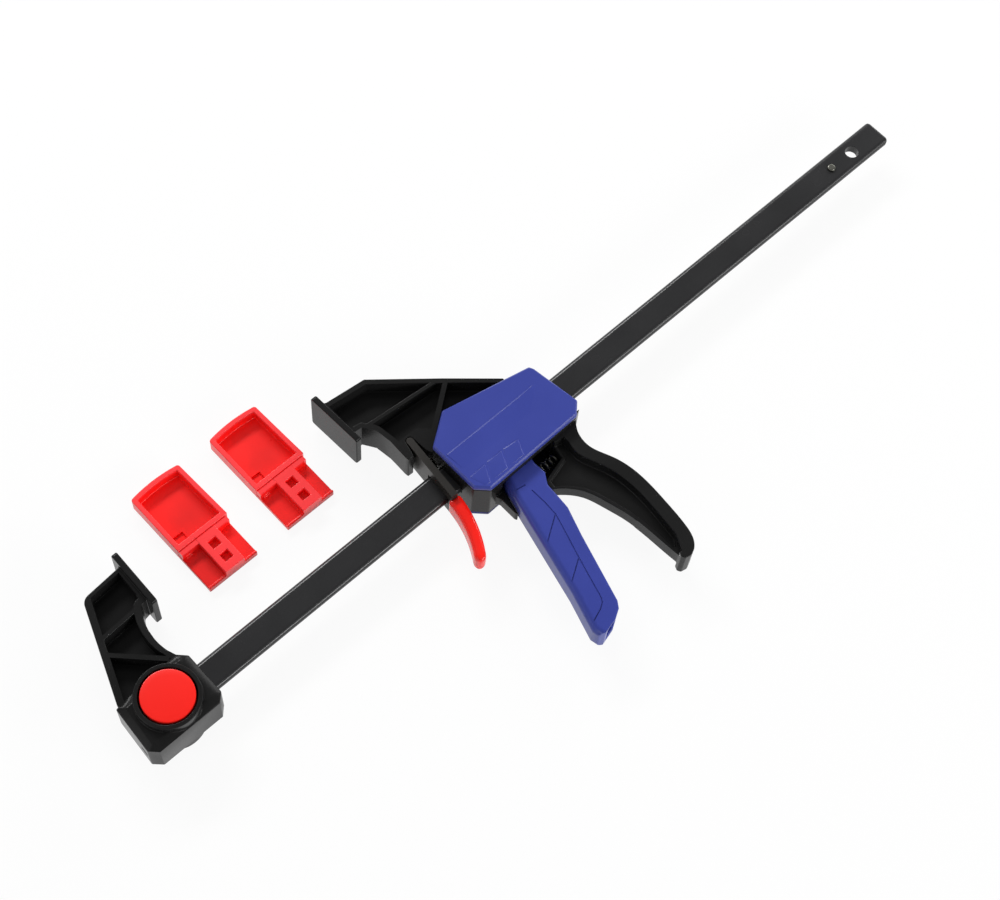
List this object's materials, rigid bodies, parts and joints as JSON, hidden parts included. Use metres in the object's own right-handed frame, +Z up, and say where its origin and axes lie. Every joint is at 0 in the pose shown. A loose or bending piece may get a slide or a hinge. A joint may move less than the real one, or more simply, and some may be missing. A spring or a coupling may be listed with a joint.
{
  "type": "quick release bar clamp",
  "caption": "One-handed bar clamp: fixed jaw, sliding head with squeeze trigger and release lever, latch button and two slip-on pads lying beside it.",
  "frame": {"origin": "on the resting plane, under the axis of the fixed jaw's latch", "axes": "+X along the bar from the fixed jaw to the free end, +Y from the bar to the jaw tips, +Z up, square to the flat side of the bar"},
  "size_m": [0.4811, 0.1968, 0.0309],
  "materials": {
    "bar_black": "satin black paint",
    "jaw_black": "moulded, slightly glossy",
    "blue": "moulded, satin",
    "red": "glossy moulding",
    "red_sleeve": "soft dipped sleeve",
    "steel": "plain hardened steel",
    "spring_steel": "bright wire"
  },
  "bodies": {
    "frame": {"bar": "bar_black", "bar_stop_pin": "steel", "fixed_jaw": "jaw_black", "latch_cap": "jaw_black", "latch_spring": "spring_steel"},
    "latch": {"latch_button": "red", "latch_pin": "steel", "latch_clip": "spring_steel"},
    "head": {"movable_jaw": "jaw_black", "front_side_cover": "blue", "back_side_cover": "blue", "cover_screws": "steel", "trigger_pin": "steel", "drive_spring": "spring_steel", "trigger_spring": "spring_steel", "brake_spring": "spring_steel"},
    "trigger": {"trigger": "blue"},
    "drive_plates": {"drive_plate_front": "steel", "drive_plate_rear": "steel"},
    "brake": {"brake_lever": "steel", "lever_sleeve": "red_sleeve"},
    "fixed_pad": {"fixed_jaw_pad": "red"},
    "movable_pad": {"movable_jaw_pad": "red"}
  },
  "joints": [
    {"name": "head_slide", "type": "slide", "parent": "frame", "child": "head", "axis": [1, 0, 0], "range_m": [-0.0145, 0.19]},
    {"name": "trigger_squeeze", "type": "hinge", "parent": "head", "child": "trigger", "pos_m": [0.19806, 0.0142, 0.015], "axis": [0, 0, 1], "range_deg": [0, 16], "stiffness_Nm_per_rad": 0.3, "springref_deg": -11.46, "deforming": ["trigger_spring"]},
    {"name": "drive_plates_push", "type": "slide", "parent": "head", "child": "drive_plates", "axis": [1, 0, 0], "range_m": [0, 0.0045], "deforming": ["drive_spring"]},
    {"name": "brake_release", "type": "hinge", "parent": "head", "child": "brake", "pos_m": [0.16046, 0.0241, 0.015], "axis": [0, 0, 1], "range_deg": [0, 5], "stiffness_Nm_per_rad": 0.4, "springref_deg": -8.59, "deforming": ["brake_spring"]},
    {"name": "latch_press", "type": "slide", "parent": "frame", "child": "latch", "axis": [0, 0, -1], "range_m": [0, 0.0036], "stiffness_N_per_m": 400, "springref_m": -0.002, "deforming": ["latch_spring"]},
    {"name": "fixed_pad_lift", "type": "slide", "parent": "frame", "child": "fixed_pad", "axis": [0, 0, 1], "range_m": [0, 0.06]},
    {"name": "movable_pad_lift", "type": "slide", "parent": "frame", "child": "movable_pad", "axis": [0, 0, 1], "range_m": [0, 0.06]}
  ],
  "couplings": [
    {"joint": "drive_plates_push", "follows": "trigger_squeeze", "m_per_rad": 0.0157}
  ]
}
